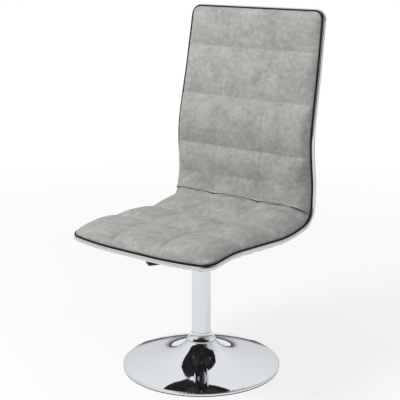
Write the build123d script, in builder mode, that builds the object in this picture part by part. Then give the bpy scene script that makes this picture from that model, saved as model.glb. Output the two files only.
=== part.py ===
from build123d import *
import math
import os

# Swivel dining chair: a chromed trumpet base and column, a gas lift with a release lever,
# and a bent plywood shell that carries a quilted seat and back inside a chromed edge band.
# Millimetres, +Z up, origin on the floor under the column's axis. The seat faces -Y, and
# +X is the sitter's left.

# ---- driving sizes ----------------------------------------------------------------------------

# general fits
running_gap = 0.05          # radial gap of a shaft that turns or slides in its hole
fixed_gap = 0.05            # radial gap of a part that is pressed or welded in
round_gap = 0.15            # radial gap between wide round pieces that are welded or glued
soft_gap = 0.3              # between a soft or curved piece and its neighbour
overrun = 24                # how far the shell's raw slab runs past its trimmed outline

# base
base_radius = 205
rim_height = 9.5            # where the dish's top meets its rolled edge
rim_roll = 3
rim_slope = 15              # degrees
dish_sheet = 2
flat_radius = 143           # the dish is flattest here
flat_height = 21.5
flat_slope = 10.5
waist_radius = 62
waist_height = 47
waist_slope = 32
neck_height = 81
neck_slope = 57             # degrees
ring_height = 2.5           # black floor ring under the dish's rim
ring_width = 9
ring_lip = 4
ring_lip_width = 2.5
ring_inset = 0.5            # the ring's outside stays this far inside the dish's
ballast_thickness = 4
ballast_margin = 15         # inside the dish's outside
ballast_lift = 0.5          # over the floor ring
socket_wall = 4
socket_flange = 4
socket_hole_radius = 18

# column
column_radius = 25
column_wall = 1.5
column_top = 290
column_floor = 3            # crimped bottom of the column tube
collar_radius = 37.7
collar_lip = 4
collar_step = 1.2           # from the lip in to the foot of the collar's hollow flank
collar_height = 23
collar_sleeve = 1           # its straight length at the top
collar_sheet = 1.2
collar_rounding = 1.2
collar_lift = 1.4           # the lip's lower edge over the dish at the lip's inner side
bush_length = 75
bush_flange = 3

# gas lift
tube_radius = 14
tube_wall = 1.5
tube_bottom = 60
taper_length = 36
taper_drop = 0.8            # how much the tube's radius shrinks over the taper
rod_radius = 5
rod_end_radius = 4
rod_collar_radius = 8
rod_collar_height = 2.5
rod_tip_length = 6
rod_shoulder = 1            # how far the rod's full width passes under the column's floor
rod_over_piston = 2
piston_height = 12
piston_top_gap = 26         # room over the rod's top when the lift is down
rod_guide_height = 18
valve_plug_height = 14
pin_radius = 3
pin_below = 18              # release pin under the top of the tube
pin_above = 3.5             # release pin over the top of the tube
pin_travel = 3
pin_rounding = 0.75
bumper_radius = 11
washer_radius = 14
washer_thickness = 1.5
ball_diameter = 3.5
ball_circle_radius = 9.75
ball_count = 10
ball_gap = 0.02
cage_thickness = 1.2
cage_margin = 1             # cage from the rod, and from the washers' edge
clip_radius = 7.5
clip_thickness = 1.6

# seat plate, board and fasteners
hub_gap = 7                 # between the bush's flange and the hub when the lift is down
hub_radius = 20
hub_over_tube = 2
plate_size = 190
plate_corner = 16
plate_thickness = 3
plate_top = 350
pan_radius = 58
pan_depth = 34
board_size = 200
board_corner = 10
board_blank = 40            # raw thickness, cut back to the shell
bolt_spacing = 140
bolt_radius = 4
bolt_reach = 8              # thread over the plate's top
bolt_head_width = 13        # across flats
bolt_head_height = 5.3
bolt_washer_radius = 8.5
bolt_washer_thickness = 1.4
tee_nut_radius = 5
tee_flange_radius = 10.5
tee_flange_thickness = 1.4
tee_nut_height = 8

# release lever, in the upright plane through the axis that it swings in
lever_angle = 236.6         # degrees from +X, seen from above
pivot_reach = 30
pivot_rise = 1.5            # over the release pin's top
pivot_radius = 2.5
pivot_overhang = 1          # pivot pin past the bracket's ears
pivot_head_radius = 4
pivot_head_thickness = 1.5
tongue_width = 11
tongue_thickness = 5
tongue_overlap = 6          # how far the tongue passes the axis
tongue_step = 1             # where its underside turns down, outside the hub
rod_bend_reach = 42
lever_rod_radius = 4
lever_knee_reach = 100      # where the rod turns level
lever_knee_radius = 16
lever_drop = 49.5           # from the pivot down to the level grip
lever_end_reach = 133
grip_start_reach = 107
grip_tip_reach = 143.5
grip_corner = 3.5
grip_tip_rounding = 2
grip_stations = [           # share of the grip's length, its width and its thickness
    (0, 13, 10),
    (0.35, 22, 10),
    (1, 25, 8.5),
]
lever_swing = 5             # degrees
ear_thickness = 2.5
ear_width = 15
ear_over_pivot = 5
ear_gap = 0.4
slot_length = 18            # of the cutter that makes the lever's slot in the pan's wall
slot_side_room = 1
slot_end_room = 3

# shell line: the side view of the plane that the front piping lies on, in Y and Z, with the
# heel between the seat and the back
heel = (174.5, 386.5)
shell_corners = [
    (-264, 368),
    (-155, 381.5),
    (69.5, 368.5),
    heel,
    (181, 480),
    (170, 590.5),
    (201.5, 749.5),
    (228.5, 912),
]
shell_radii = [350, 350, 52, 147, 362, 330]
shell_thickness = 11
seat_width = 438.4
back_top_width = 409.6
bow_share = 0.5475          # share of the half width where the front's slanted runs would meet
bow_flat = 56               # half of the straight stretch in the middle of the front
bow_depth = 18
front_corner_radius = 34.5
top_corner_radius = 23

# edge band, piping and covers
band_bulge = 3.5            # outside the piping line
band_seat = 1.0             # inside the piping line
band_round = 3.8            # radius along both of its outer edges
piping_radius = 1.9
rear_piping_inset = 1.0
rear_cover_thickness = 3.5
under_cover_thickness = 1.2
under_cover_inset = 6
cover_split = 396           # height of the joint between the rear cover and the cloth below

# quilted pads: heights over the shell line
seat_row_pitch = 130
seat_rear_row = 137
back_row_pitch = 130
back_top_row = 104
column_count = 3
seat_seam_height = 17
seat_crown_heights = [29, 30, 35]
joint_rise = 15             # the joint of the pads lies this far up from the heel's middle
joint_height = 34           # where the seat and the back pads meet
back_seam_heights = [18, 11, 6]
back_crown_heights = [34, 23, 17, 12]
edge_height = 4             # a pad's side at a row seam
edge_rise = 6               # and how much more of it shows in the middle of a row
side_tuck = 3               # how far a pad's side is drawn in at a row seam
pad_bite = 6                # raw depth below the shell line, trimmed off
pad_gap = 0.4               # between a pad's side and the front piping
seam_lift = 3               # how much a row seam's arcs rise between the columns
seam_share = 0.6            # how deep a column seam stays in the middle of a row
roll_reach = 14             # the seat pad rises steeply this far behind the front piping
roll_height = 15
rim_lift = 3                # a pad's height where it meets the piping at the front or the top

# ---- sizes that follow ------------------------------------------------------------------------

ballast_bottom = ring_height + ballast_lift
ballast_top = ballast_bottom + ballast_thickness
socket_radius = column_radius + fixed_gap + socket_wall
column_bottom = ballast_top + socket_flange
thrust_bottom = column_bottom + column_floor
race_height = ball_diameter + 2 * ball_gap
thrust_top = thrust_bottom + 2 * washer_thickness + race_height
rod_bottom = column_bottom - rod_tip_length
clip_top = column_bottom - rod_shoulder
bush_top = column_top + bush_flange
hub_bottom = bush_top + hub_gap
tube_top = hub_bottom + taper_length
hub_top = tube_top + hub_over_tube
rod_top = tube_top - valve_plug_height - piston_top_gap
pan_floor = plate_top - plate_thickness - pan_depth
pin_top = tube_top + pin_above
pivot_height = pin_top + pivot_rise
band_low = -shell_thickness
rear_piping_height = band_low - soft_gap - piping_radius
front_piping_height = soft_gap + piping_radius
cover_top = band_low - soft_gap
pad_inset = piping_radius + pad_gap
rear_cover_inset = rear_piping_inset + piping_radius + 2 * soft_gap
column_pitch = seat_width / column_count
bow_reach = bow_share * seat_width / 2
bow_angle = math.atan2(bow_depth, seat_width / 2 - bow_reach)
bow_radius = (bow_reach - bow_flat) / math.tan(bow_angle / 2)
wide = seat_width
tall = 2 * shell_corners[-1][1]

os.makedirs("parts", exist_ok=True)


# ---- helpers ----------------------------------------------------------------------------------

def unit(start, end):
    """Direction from one point of the side view to another."""
    length = math.hypot(end[0] - start[0], end[1] - start[1])
    return (end[0] - start[0]) / length, (end[1] - start[1]) / length


def shell_runs():
    """Directions of the straight runs between the shell line's corners."""
    return [unit(a, b) for a, b in zip(shell_corners, shell_corners[1:])]


def shell_points(height, extra=0):
    """Corners of the line that lies a height over the shell line, with longer ends."""
    runs = shell_runs()
    points = []
    for index, (y, z) in enumerate(shell_corners):
        before = runs[max(index - 1, 0)]
        after = runs[min(index, len(runs) - 1)]
        share = 1 + before[0] * after[0] + before[1] * after[1]
        reach = 0
        if index == 0:
            reach = -extra
        if index == len(shell_corners) - 1:
            reach = extra
        points.append((
            y - height * (before[1] + after[1]) / share + reach * after[0],
            z + height * (before[0] + after[0]) / share + reach * after[1],
        ))
    return points


def line_radii(height):
    """Fillet radii of that line: a left turn gets tighter over the shell line."""
    runs = shell_runs()
    radii = []
    for before, after, radius in zip(runs, runs[1:], shell_radii):
        turn = before[0] * after[1] - before[1] * after[0]
        radii.append(radius - height * math.copysign(1, turn))
    return radii


def strip(low, high):
    """Side view of the layer between two heights over the shell line."""
    with BuildSketch(Plane.YZ) as section:
        with BuildLine():
            bottom = FilletPolyline(*shell_points(low, overrun), radius=line_radii(low))
            top = FilletPolyline(*shell_points(high, overrun), radius=line_radii(high))
            Line(bottom @ 0, top @ 0)
            Line(bottom @ 1, top @ 1)
        make_face()
    return section.sketch


def run_point(points, value, axis, last=False):
    """Point of the first or last run at a given Y (axis 0) or Z (axis 1)."""
    start, end = points[-2:] if last else points[:2]
    share = (value - start[axis]) / (end[axis] - start[axis])
    return start[0] + share * (end[0] - start[0]), start[1] + share * (end[1] - start[1])


front_y = shell_corners[0][0]
top_z = shell_corners[-1][1]
taper_z = heel[1]


def half_width(z):
    """Half of the piping line's width at a height over the floor."""
    share = max(0, (z - taper_z) / (top_z - taper_z))
    return (seat_width - share * (seat_width - back_top_width)) / 2


def plan_outline(grow):
    """Seat seen from above; the rear stays open."""
    side = seat_width / 2
    rear = -front_y + 2 * overrun
    with BuildSketch(Plane.XY) as outline:
        with BuildLine():
            FilletPolyline(
                (-side, rear),
                (-side, front_y + bow_depth),
                (-bow_reach, front_y),
                (bow_reach, front_y),
                (side, front_y + bow_depth),
                (side, rear),
                radius=[front_corner_radius, bow_radius, bow_radius, front_corner_radius],
            )
            Line((-side, rear), (side, rear))
        make_face()
        if grow:
            offset(amount=grow, kind=Kind.INTERSECTION)
    return outline.sketch


def front_outline(grow):
    """Back seen from the front; below the heel its sides run on outside the seat."""
    foot = 2 * half_width(taper_z) - half_width(2 * taper_z)
    top = half_width(top_z)
    with BuildSketch(Plane.XZ) as outline:
        with BuildLine():
            FilletPolyline(
                (-foot, 0),
                (-top, top_z),
                (top, top_z),
                (foot, 0),
                radius=top_corner_radius,
            )
            Line((-foot, 0), (foot, 0))
        make_face()
        if grow:
            offset(amount=grow, kind=Kind.INTERSECTION)
    return outline.sketch


def trim_to_outlines(grow):
    """Cut the part being built to the seat's and the back's grown outlines."""
    extrude(plan_outline(grow), amount=tall, mode=Mode.INTERSECT)
    extrude(front_outline(grow), amount=wide, both=True, mode=Mode.INTERSECT)


def layer(low, high, grow):
    """Bent layer of the shell between two heights, trimmed to the grown outlines."""
    extrude(strip(low, high), amount=wide, both=True)
    trim_to_outlines(grow)


def ring(inner, outer, low, high):
    """Plain turned ring about the column's axis."""
    with BuildSketch(Plane.XY.offset(low)) as section:
        Circle(outer)
        if inner:
            Circle(inner, mode=Mode.SUBTRACT)
    extrude(section.sketch, amount=high - low)


def piping_loop(height, inset):
    """Closed round cord along the shell's edge, a height over the shell line."""
    points = shell_points(height)
    front = front_y + inset
    corner = front + bow_depth
    path = [
        (0, *run_point(points, front, 0)),
        (bow_reach, *run_point(points, front, 0)),
        (seat_width / 2 - inset, *run_point(points, corner, 0)),
    ]
    for y, z in points[1:-1]:
        path.append((half_width(z) - inset, y, z))
    end = run_point(points, top_z - inset, 1, last=True)
    path.append((half_width(top_z) - inset, *end))
    path.append((0, *end))
    radii = [bow_radius, front_corner_radius, *line_radii(height), top_corner_radius]
    with BuildLine() as edge:
        FilletPolyline(*path, radius=radii)
    with BuildSketch(Plane(origin=edge.line @ 0, z_dir=edge.line % 0)) as section:
        Circle(piping_radius)
    sweep(section.sketch, path=edge.line)
    mirror(about=Plane.YZ)


def dish_line(depth):
    """Curve of the dish from its neck to the start of its rolled edge, a depth under its top."""
    places = [
        (socket_radius + round_gap, neck_height, neck_slope),
        (waist_radius, waist_height, waist_slope),
        (flat_radius, flat_height, flat_slope),
        (base_radius - rim_roll, rim_height, rim_slope),
    ]
    points = []
    ways = []
    for index, (radius, height, slope) in enumerate(places):
        turn = math.radians(slope)
        inward = 0 if index == 0 else depth * math.sin(turn)
        points.append((radius - inward, height - depth * math.cos(turn)))
        ways.append((math.cos(turn), -math.sin(turn)))
    return Spline(*points, tangents=[ways[0], ways[-1]])


def finish(piece, name):
    piece.part.label = name
    export_step(piece.part, f"parts/{name}.step")


# ---- base -------------------------------------------------------------------------------------

with BuildPart() as base_dish:
    with BuildSketch(Plane.XZ):
        with BuildLine():
            top = dish_line(0)
            roll = TangentArc(top @ 1, (base_radius, rim_height - rim_roll), tangent=top % 1)
            outside = Line(roll @ 1, (base_radius, ring_height))
            lower = dish_line(dish_sheet)
            inside = TangentArc(
                lower @ 1,
                (base_radius - dish_sheet, rim_height - rim_roll - dish_sheet),
                tangent=lower % 1,
            )
            Polyline(outside @ 1, (base_radius - dish_sheet, ring_height), inside @ 1)
            Line(top @ 0, lower @ 0)
        make_face()
    revolve(axis=Axis.Z)
finish(base_dish, "base_dish")

with BuildPart() as base_edge_ring:
    lip_outer = base_radius - dish_sheet - soft_gap
    ring(base_radius - ring_width, base_radius - ring_inset, 0, ring_height)
    ring(lip_outer - ring_lip_width, lip_outer, ring_height, ring_height + ring_lip)
finish(base_edge_ring, "base_edge_ring")

with BuildPart() as ballast_plate:
    ring(socket_hole_radius, base_radius - ballast_margin, ballast_bottom, ballast_top)
finish(ballast_plate, "ballast_plate")

with BuildPart() as column_socket:
    ring(socket_hole_radius, socket_radius, ballast_top, column_bottom)
    ring(column_radius + fixed_gap, socket_radius, column_bottom, neck_height)
finish(column_socket, "column_socket")

with BuildPart() as column_tube:
    ring(rod_radius + running_gap, column_radius, column_bottom, thrust_bottom)
    ring(column_radius - column_wall, column_radius, thrust_bottom, column_top)
finish(column_tube, "column_tube")

with BuildPart() as column_collar:
    # the dish's height under the lip, on the straight line down its neck
    lip_inner = collar_radius - collar_sheet
    lip_drop = (lip_inner - socket_radius) * math.tan(math.radians(neck_slope))
    lip_low = neck_height - lip_drop + collar_lift
    sleeve_radius = column_radius + soft_gap
    with BuildSketch(Plane.XZ) as collar_section:
        with BuildLine():
            sleeve_low = lip_low + collar_height - collar_sleeve
            section = Polyline(
                (sleeve_radius + collar_sheet, sleeve_low),
                (sleeve_radius + collar_sheet, lip_low + collar_height),
                (sleeve_radius, lip_low + collar_height),
                (sleeve_radius, neck_height + soft_gap),
                (socket_radius + soft_gap, neck_height + soft_gap),
                (lip_inner, lip_low),
                (collar_radius, lip_low),
                (collar_radius, lip_low + collar_lip),
                (collar_radius - collar_step, lip_low + collar_lip),
            )
            TangentArc(section @ 0, section @ 1, tangent=(0, -1))
        make_face()
        fillet(collar_section.vertices().sort_by(Axis.X)[-2:], radius=collar_rounding)
    revolve(axis=Axis.Z)
finish(column_collar, "column_collar")

with BuildPart() as guide_bush:
    bush_outer = column_radius - column_wall - fixed_gap
    ring(tube_radius + running_gap, bush_outer, column_top - bush_length, column_top)
    ring(tube_radius + running_gap, column_radius, column_top, bush_top)
finish(guide_bush, "guide_bush")


# ---- gas lift ---------------------------------------------------------------------------------

with BuildPart() as thrust_washer_lower:
    ring(rod_radius + running_gap, washer_radius, thrust_bottom, thrust_bottom + washer_thickness)
finish(thrust_washer_lower, "thrust_washer_lower")

with BuildPart() as thrust_washer_upper:
    ring(rod_radius + fixed_gap, washer_radius, thrust_top - washer_thickness, thrust_top)
finish(thrust_washer_upper, "thrust_washer_upper")

ball_plane = Plane.XY.offset(thrust_bottom + washer_thickness + race_height / 2)

with BuildPart(ball_plane) as thrust_balls:
    with PolarLocations(ball_circle_radius, ball_count):
        Sphere(ball_diameter / 2)
finish(thrust_balls, "thrust_balls")

with BuildPart() as ball_cage:
    with BuildSketch(ball_plane.offset(-cage_thickness / 2)):
        Circle(washer_radius - cage_margin)
        Circle(rod_radius + cage_margin, mode=Mode.SUBTRACT)
        with PolarLocations(ball_circle_radius, ball_count):
            Circle(ball_diameter / 2 + running_gap, mode=Mode.SUBTRACT)
    extrude(amount=cage_thickness)
finish(ball_cage, "ball_cage")

with BuildPart() as piston_rod:
    ring(0, rod_radius, clip_top, rod_top)
    ring(0, rod_collar_radius, thrust_top, thrust_top + rod_collar_height)
    ring(0, rod_end_radius, rod_bottom, clip_top)
finish(piston_rod, "piston_rod")

with BuildPart() as piston:
    ring(
        rod_radius + fixed_gap,
        tube_radius - tube_wall - running_gap,
        rod_top - rod_over_piston - piston_height,
        rod_top - rod_over_piston,
    )
finish(piston, "piston")

with BuildPart() as rod_clip:
    ring(rod_end_radius + fixed_gap, clip_radius, clip_top - clip_thickness, clip_top)
finish(rod_clip, "rod_clip")

with BuildPart() as rod_bumper:
    bumper_bottom = thrust_top + rod_collar_height
    ring(rod_radius + fixed_gap, bumper_radius, bumper_bottom, tube_bottom - soft_gap)
finish(rod_bumper, "rod_bumper")

with BuildPart() as pressure_tube:
    with BuildSketch(Plane.XZ):
        with BuildLine():
            Polyline(
                (tube_radius - tube_wall, tube_bottom),
                (tube_radius, tube_bottom),
                (tube_radius, hub_bottom),
                (tube_radius - taper_drop, tube_top),
                (tube_radius - taper_drop - tube_wall, tube_top),
                (tube_radius - tube_wall, hub_bottom),
                close=True,
            )
        make_face()
    revolve(axis=Axis.Z)
finish(pressure_tube, "pressure_tube")

with BuildPart() as rod_guide:
    guide_radius = tube_radius - tube_wall - fixed_gap
    ring(rod_radius + running_gap, guide_radius, tube_bottom, tube_bottom + rod_guide_height)
finish(rod_guide, "rod_guide")

with BuildPart() as valve_plug:
    plug_radius = tube_radius - tube_wall - taper_drop - fixed_gap
    ring(pin_radius + running_gap, plug_radius, tube_top - valve_plug_height, tube_top)
finish(valve_plug, "valve_plug")

with BuildPart() as release_pin:
    ring(0, pin_radius, tube_top - pin_below + pin_travel, pin_top)
    fillet(release_pin.edges().group_by(Axis.Z)[-1], radius=pin_rounding)
finish(release_pin, "release_pin")


# ---- seat plate and its fasteners -------------------------------------------------------------

lever_turn = math.radians(lever_angle)
lever_plane = Plane(
    origin=(0, 0, 0),
    x_dir=(math.cos(lever_turn), math.sin(lever_turn), 0),
    z_dir=(math.sin(lever_turn), -math.cos(lever_turn), 0),
)
bolt_places = GridLocations(bolt_spacing, bolt_spacing, 2, 2)

with BuildPart() as taper_hub:
    with BuildSketch(Plane.XZ):
        with BuildLine():
            Polyline(
                (tube_radius + fixed_gap, hub_bottom),
                (hub_radius, hub_bottom),
                (hub_radius, hub_top),
                (tube_radius - taper_drop + fixed_gap, hub_top),
                (tube_radius - taper_drop + fixed_gap, tube_top),
                close=True,
            )
        make_face()
    revolve(axis=Axis.Z)
finish(taper_hub, "taper_hub")

# The lever's way from the pin over the tube, down through the pan's wall and level to its grip.
lever_bend = (rod_bend_reach, pivot_height)
lever_knee = (lever_knee_reach, pivot_height - lever_drop)
lever_end = (lever_end_reach, lever_knee[1])
lever_droop = math.atan2(lever_knee[1] - lever_bend[1], lever_knee[0] - lever_bend[0])
wall_reach = pan_radius - plate_thickness / 2
slot_height = lever_bend[1] + (wall_reach - lever_bend[0]) * math.tan(lever_droop)
slot_lift = (pan_radius - pivot_reach) * math.tan(math.radians(lever_swing))
slot_end = lever_rod_radius / math.cos(lever_droop) + slot_end_room

with BuildPart() as seat_plate:
    with BuildSketch(Plane.XY.offset(plate_top - plate_thickness)):
        RectangleRounded(plate_size, plate_size, plate_corner)
    extrude(amount=plate_thickness)
    with BuildSketch(Plane.XY.offset(pan_floor)):
        Circle(pan_radius)
    extrude(amount=pan_depth)
    with BuildSketch(Plane.XY.offset(pan_floor + plate_thickness)):
        Circle(pan_radius - plate_thickness)
    extrude(amount=pan_depth, mode=Mode.SUBTRACT)
    with BuildSketch(Plane.XY.offset(pan_floor)):
        Circle(hub_radius + fixed_gap)
        with bolt_places:
            Circle(bolt_radius + soft_gap)
    extrude(amount=plate_top - pan_floor, mode=Mode.SUBTRACT)
    slot_side = lever_rod_radius + slot_side_room
    with BuildSketch(lever_plane.offset(-slot_side)):
        with Locations((pan_radius, slot_height + slot_lift / 2)):
            Rectangle(slot_length, slot_lift + 2 * slot_end)
    extrude(amount=2 * slot_side, mode=Mode.SUBTRACT)
finish(seat_plate, "seat_plate")

with BuildPart() as mount_board:
    with BuildSketch(Plane.XY.offset(plate_top)):
        RectangleRounded(board_size, board_size, board_corner)
    extrude(amount=board_blank)
    with BuildSketch(Plane.XY.offset(plate_top)):
        with bolt_places:
            Circle(tee_nut_radius + fixed_gap)
    extrude(amount=board_blank, mode=Mode.SUBTRACT)
    tee_seat = plate_top + tee_nut_height - tee_flange_thickness
    with BuildSketch(Plane.XY.offset(tee_seat)):
        with bolt_places:
            Circle(tee_flange_radius + soft_gap)
    extrude(amount=board_blank, mode=Mode.SUBTRACT)
    extrude(strip(cover_top, board_blank), amount=wide, both=True, mode=Mode.SUBTRACT)
finish(mount_board, "mount_board")

with BuildPart() as tee_nuts:
    with BuildSketch(Plane.XY.offset(plate_top)):
        with bolt_places:
            Circle(tee_nut_radius)
    extrude(amount=tee_nut_height - tee_flange_thickness)
    with BuildSketch(Plane.XY.offset(tee_seat)):
        with bolt_places:
            Circle(tee_flange_radius)
    extrude(amount=tee_flange_thickness)
    with BuildSketch(Plane.XY.offset(plate_top)):
        with bolt_places:
            Circle(bolt_radius + fixed_gap)
    extrude(amount=tee_nut_height, mode=Mode.SUBTRACT)
finish(tee_nuts, "tee_nuts")

head_top = plate_top - plate_thickness - bolt_washer_thickness

with BuildPart() as plate_washers:
    with BuildSketch(Plane.XY.offset(head_top)):
        with bolt_places:
            Circle(bolt_washer_radius)
            Circle(bolt_radius + soft_gap, mode=Mode.SUBTRACT)
    extrude(amount=bolt_washer_thickness)
finish(plate_washers, "plate_washers")

with BuildPart() as plate_bolts:
    with BuildSketch(Plane.XY.offset(head_top - bolt_head_height)):
        with bolt_places:
            RegularPolygon(bolt_head_width / 2, 6, major_radius=False)
    extrude(amount=bolt_head_height)
    with BuildSketch(Plane.XY.offset(head_top)):
        with bolt_places:
            Circle(bolt_radius)
    extrude(amount=plate_top + bolt_reach - head_top)
finish(plate_bolts, "plate_bolts")


# ---- release lever ----------------------------------------------------------------------------

ear_inside = tongue_width / 2 + ear_gap
ear_outside = ear_inside + ear_thickness

with BuildPart() as lever_bracket:
    bracket_floor = pan_floor + plate_thickness
    with BuildSketch(lever_plane.offset(-ear_outside)):
        with BuildLine():
            Polyline(
                (pivot_reach - ear_width / 2, bracket_floor),
                (pivot_reach + ear_width / 2, bracket_floor),
                (pivot_reach + ear_width / 2, pivot_height),
            )
            ThreePointArc(
                (pivot_reach + ear_width / 2, pivot_height),
                (pivot_reach, pivot_height + ear_over_pivot),
                (pivot_reach - ear_width / 2, pivot_height),
            )
            Line(
                (pivot_reach - ear_width / 2, pivot_height),
                (pivot_reach - ear_width / 2, bracket_floor),
            )
        make_face()
        with Locations((pivot_reach, pivot_height)):
            Circle(pivot_radius + fixed_gap, mode=Mode.SUBTRACT)
    extrude(amount=2 * ear_outside)
    with BuildSketch(lever_plane.offset(-ear_inside)):
        with Locations((pivot_reach, bracket_floor + ear_thickness)):
            Rectangle(2 * ear_width, pan_depth, align=(Align.CENTER, Align.MIN))
    extrude(amount=2 * ear_inside, mode=Mode.SUBTRACT)
finish(lever_bracket, "lever_bracket")

with BuildPart() as lever_pin:
    pivot_end = ear_outside + pivot_overhang
    with BuildSketch(lever_plane.offset(-pivot_end)):
        with Locations((pivot_reach, pivot_height)):
            Circle(pivot_radius)
    extrude(amount=2 * pivot_end)
    with BuildSketch(lever_plane.offset(ear_outside + soft_gap)):
        with Locations((pivot_reach, pivot_height)):
            Circle(pivot_head_radius)
    extrude(amount=pivot_head_thickness)
finish(lever_pin, "lever_pin")

with BuildPart() as lever_rod:
    tongue_low = pin_top + soft_gap
    with BuildSketch(lever_plane.offset(-tongue_width / 2)):
        with BuildLine():
            Polyline(
                (-tongue_overlap, tongue_low),
                (-tongue_overlap, tongue_low + tongue_thickness),
                (rod_bend_reach, pivot_height + tongue_thickness / 2),
                (rod_bend_reach, pivot_height - tongue_thickness / 2),
                (pivot_reach + tongue_thickness, pivot_height - tongue_thickness),
                (pivot_reach - tongue_thickness, pivot_height - tongue_thickness),
                (hub_radius + tongue_step, tongue_low),
                close=True,
            )
        make_face()
        with Locations((pivot_reach, pivot_height)):
            Circle(pivot_radius + running_gap, mode=Mode.SUBTRACT)
    extrude(amount=tongue_width)
    with BuildLine(lever_plane) as rod_line:
        FilletPolyline(lever_bend, lever_knee, lever_end, radius=lever_knee_radius)
    with BuildSketch(Plane(origin=rod_line.line @ 0, z_dir=rod_line.line % 0)) as rod_section:
        Circle(lever_rod_radius)
    sweep(rod_section.sketch, path=rod_line.line)
finish(lever_rod, "lever_rod")

rod_end = rod_line.line @ 1
rod_way = rod_line.line % 1
grip_start = rod_end - rod_way * (lever_end_reach - grip_start_reach)
grip_length = grip_tip_reach - grip_start_reach

with BuildPart() as lever_grip:
    for share, width, thickness in grip_stations:
        place = grip_start + rod_way * grip_length * share
        with BuildSketch(Plane(origin=place, x_dir=lever_plane.z_dir, z_dir=rod_way)):
            RectangleRounded(width, thickness, grip_corner)
    loft()
    with BuildSketch(Plane(origin=rod_end + rod_way * soft_gap, z_dir=-rod_way)):
        Circle(lever_rod_radius + fixed_gap)
    extrude(amount=grip_length, mode=Mode.SUBTRACT)
    tip_face = lever_grip.faces().sort_by_distance(grip_start)[-1]
    fillet(tip_face.edges(), radius=grip_tip_rounding)
finish(lever_grip, "lever_grip")


# ---- shell, band and covers -------------------------------------------------------------------

with BuildPart() as shell_core:
    layer(band_low, 0, -band_seat - fixed_gap)
finish(shell_core, "shell_core")

# the room that the band leaves for the shell
with BuildPart() as shell_room:
    layer(band_low - soft_gap, soft_gap, -band_seat)

with BuildPart() as edge_band:
    layer(band_low, 0, band_bulge)
    bends = edge_band.edges().filter_by(lambda edge: edge.geom_type != GeomType.LINE)
    fillet(bends, radius=band_round)
    add(shell_room.part, mode=Mode.SUBTRACT)
finish(edge_band, "edge_band")

with BuildPart() as front_piping:
    piping_loop(front_piping_height, 0)
finish(front_piping, "front_piping")

with BuildPart() as rear_piping:
    piping_loop(rear_piping_height, rear_piping_inset)
    split(bisect_by=Plane.XY.offset(cover_split + soft_gap), keep=Keep.TOP)
finish(rear_piping, "rear_piping")

with BuildPart() as rear_cover:
    layer(cover_top - rear_cover_thickness, cover_top, -rear_cover_inset)
    split(bisect_by=Plane.XY.offset(cover_split + soft_gap), keep=Keep.TOP)
finish(rear_cover, "rear_cover")

with BuildPart() as under_cover:
    layer(cover_top - under_cover_thickness, cover_top, -under_cover_inset)
    split(bisect_by=Plane.XY.offset(cover_split), keep=Keep.BOTTOM)
    board_room = board_size + 2 * soft_gap
    with BuildSketch(Plane.XY):
        RectangleRounded(board_room, board_room, board_corner + soft_gap)
    extrude(amount=tall, mode=Mode.SUBTRACT)
finish(under_cover, "under_cover")


# ---- quilted pads -----------------------------------------------------------------------------

with BuildLine(Plane.YZ) as shell_line:
    FilletPolyline(*shell_corners, radius=shell_radii)

shell_wire = shell_line.wire()
shell_length = shell_wire.length
heel_arc = shell_line.edges().filter_by(GeomType.CIRCLE).sort_by(SortBy.RADIUS)[0]
heel_reach = shell_wire.param_at_point(heel_arc @ 0.5) * shell_length
joint_reach = heel_reach + joint_rise


def quilt_section(reach, seam, crown, rise, tuck):
    """Cross-section of a pad a length along the shell line, one arc for each column."""
    place = shell_wire.position_at(reach, position_mode=PositionMode.LENGTH)
    way = shell_wire.tangent_at(reach, position_mode=PositionMode.LENGTH)
    side = half_width(place.Z) - pad_inset
    plane = Plane(origin=place, x_dir=(1, 0, 0), z_dir=-way)
    with BuildSketch(plane) as section:
        with BuildLine():
            Polyline(
                (side - tuck, rise),
                (side, -pad_bite),
                (-side, -pad_bite),
                (tuck - side, rise),
            )
            ThreePointArc(
                (tuck - side, rise),
                ((tuck - side - column_pitch / 2) / 2, crown),
                (-column_pitch / 2, seam),
            )
            ThreePointArc((-column_pitch / 2, seam), (0, crown), (column_pitch / 2, seam))
            ThreePointArc(
                (column_pitch / 2, seam),
                ((side - tuck + column_pitch / 2) / 2, crown),
                (side - tuck, rise),
            )
        make_face()
    return section.sketch


def trim_pad():
    """Cut a raw pad back from the shell and to the outline inside the piping."""
    extrude(strip(-2 * pad_bite, soft_gap), amount=wide, both=True, mode=Mode.SUBTRACT)
    trim_to_outlines(-pad_inset)


def seam_section(reach, seam):
    """Section of a pad at a sewn row seam, or at its front, top or joint."""
    return quilt_section(reach, seam, seam + seam_lift, edge_height, side_tuck)


def puff_section(reach, seam, crown):
    """Section of a pad between two row seams, the lower one at a given height."""
    valley = seam_share * seam + (1 - seam_share) * crown
    return quilt_section(reach, valley, crown, edge_height + edge_rise, 0)


def quilt_rows(bounds, seams, crowns):
    """Raw pad with a row of puffs between each two bounds along the shell line."""
    for index, crown in enumerate(crowns):
        start, end = bounds[index:index + 2]
        low, high = seams[index:index + 2]
        middle = puff_section((start + end) / 2, min(low, high), crown)
        loft([seam_section(start, low), middle, seam_section(end, high)])


seat_bounds = [
    roll_reach,
    heel_reach - seat_rear_row - seat_row_pitch,
    heel_reach - seat_rear_row,
    joint_reach - soft_gap,
]
back_bounds = [
    joint_reach + soft_gap,
    shell_length - back_top_row - 2 * back_row_pitch,
    shell_length - back_top_row - back_row_pitch,
    shell_length - back_top_row,
    shell_length,
]

with BuildPart() as seat_pad:
    seat_seams = [roll_height, seat_seam_height, seat_seam_height, joint_height]
    loft([seam_section(0, rim_lift), seam_section(roll_reach, roll_height)])
    quilt_rows(seat_bounds, seat_seams, seat_crown_heights)
    trim_pad()
finish(seat_pad, "seat_pad")

with BuildPart() as back_pad:
    quilt_rows(back_bounds, [joint_height, *back_seam_heights, rim_lift], back_crown_heights)
    trim_pad()
finish(back_pad, "back_pad")
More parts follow.
